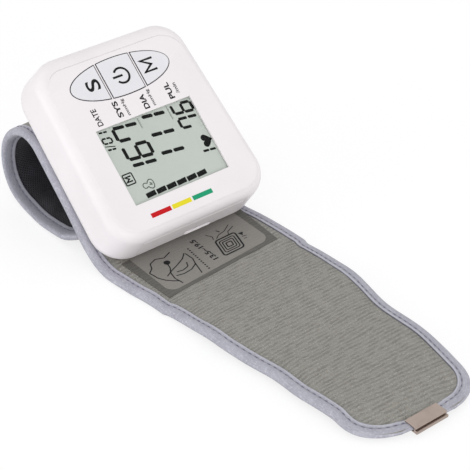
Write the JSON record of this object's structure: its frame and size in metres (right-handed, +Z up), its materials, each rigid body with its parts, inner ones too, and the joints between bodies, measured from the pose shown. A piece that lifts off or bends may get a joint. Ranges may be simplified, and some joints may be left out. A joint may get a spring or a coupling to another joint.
{
  "type": "wrist blood pressure monitor",
  "caption": "Wrist blood pressure monitor: a white tilted housing with a display and an oval group of keys on a curled grey cuff, its tapering strap lying open to a steel end clip.",
  "frame": {"origin": "on the surface it lies on, under the middle of the front edge of the strap's printed panel", "axes": "+X along the open strap to its end clip, +Y across the strap, +Z up"},
  "size_m": [0.2103, 0.071, 0.0664],
  "materials": {
    "white_plastic": "satin white moulded ABS",
    "clear_plastic": "clear polished acrylic",
    "display_glass": "grey-green reflective liquid crystal",
    "key_plastic": "fine matt, slightly greyer than the face",
    "grey_plastic": "plain grey moulding",
    "black_rubber": "matt black",
    "black_plastic": "moulded black epoxy",
    "board": "green solder resist",
    "steel": "bright plated steel",
    "brass": "plain spring brass",
    "cell_jacket": "plain blue foil jacket",
    "hose": "soft milky silicone",
    "sheet_plastic": "translucent white sheet",
    "loop_fabric": "grey-taupe loop pile with fine ribs across",
    "lining_mesh": "near-black knitted mesh",
    "binding_tape": "blue-grey woven tape",
    "hook_plastic": "black hook tape",
    "label_print": "printed grey panel"
  },
  "bodies": {
    "monitor": {"air_bladder": "black_rubber", "air_hose": "hose", "air_manifold": "grey_plastic", "air_nipple": "grey_plastic", "back_shell": "white_plastic", "battery_1": "cell_jacket", "battery_2": "cell_jacket", "battery_contact_1": "brass", "battery_contact_2": "brass", "battery_spring_1": "steel", "battery_spring_2": "steel", "buzzer": "black_plastic", "case_screw_1": "steel", "case_screw_2": "steel", "case_screw_3": "steel", "case_screw_4": "steel", "circuit_board": "board", "cuff_binding_far": "binding_tape", "cuff_binding_near": "binding_tape", "cuff_fabric": "loop_fabric", "cuff_holder": "grey_plastic", "cuff_lining": "lining_mesh", "curl_sheet": "sheet_plastic", "display_window": "clear_plastic", "exhaust_valve": "steel", "face_overlay": "white_plastic", "front_shell": "white_plastic", "holder_screw_1": "steel", "holder_screw_2": "steel", "lcd_frame": "grey_plastic", "lcd_glass": "display_glass", "pressure_sensor": "grey_plastic", "processor_chip": "black_plastic", "pump_head": "grey_plastic", "pump_motor": "steel", "size_label": "label_print", "switch_memory": "grey_plastic", "switch_power": "grey_plastic", "switch_set": "grey_plastic", "zebra_connector": "black_rubber"},
    "key_set": {"key_set": "key_plastic"},
    "key_power": {"key_power": "key_plastic"},
    "key_memory": {"key_memory": "key_plastic"},
    "battery_cover": {"battery_cover": "white_plastic"},
    "strap_1": {"strap_1_fabric": "loop_fabric", "strap_1_lining": "lining_mesh", "strap_1_binding_near": "binding_tape", "strap_1_binding_far": "binding_tape"},
    "strap_2": {"strap_2_fabric": "loop_fabric", "strap_2_lining": "lining_mesh", "strap_2_binding_near": "binding_tape", "strap_2_binding_far": "binding_tape"},
    "strap_tip": {"strap_tip_fabric": "loop_fabric", "strap_tip_lining": "lining_mesh", "strap_tip_binding": "binding_tape", "hook_patch": "hook_plastic", "end_clip": "steel"}
  },
  "joints": [
    {"name": "key_set_press", "type": "slide", "parent": "monitor", "child": "key_set", "axis": [-0.6334, 0, -0.7738], "range_m": [0, 0.0005], "stiffness_N_per_m": 400},
    {"name": "key_power_press", "type": "slide", "parent": "monitor", "child": "key_power", "axis": [-0.6334, 0, -0.7738], "range_m": [0, 0.0005], "stiffness_N_per_m": 400},
    {"name": "key_memory_press", "type": "slide", "parent": "monitor", "child": "key_memory", "axis": [-0.6334, 0, -0.7738], "range_m": [0, 0.0005], "stiffness_N_per_m": 400},
    {"name": "battery_cover_hinge", "type": "hinge", "parent": "monitor", "child": "battery_cover", "pos_m": [-0.01826, 0, 0.0147], "axis": [0, -1, 0], "range_deg": [0, 75]},
    {"name": "strap_bend_1", "type": "hinge", "parent": "monitor", "child": "strap_1", "pos_m": [0.008, 0, 0.0017], "axis": [0, 1, 0], "range_deg": [-15, 60]},
    {"name": "strap_bend_2", "type": "hinge", "parent": "strap_1", "child": "strap_2", "pos_m": [0.042, 0, 0.0017], "axis": [0, 1, 0], "range_deg": [-15, 60]},
    {"name": "strap_bend_3", "type": "hinge", "parent": "strap_2", "child": "strap_tip", "pos_m": [0.076, 0, 0.0017], "axis": [0, 1, 0], "range_deg": [-15, 60]}
  ]
}
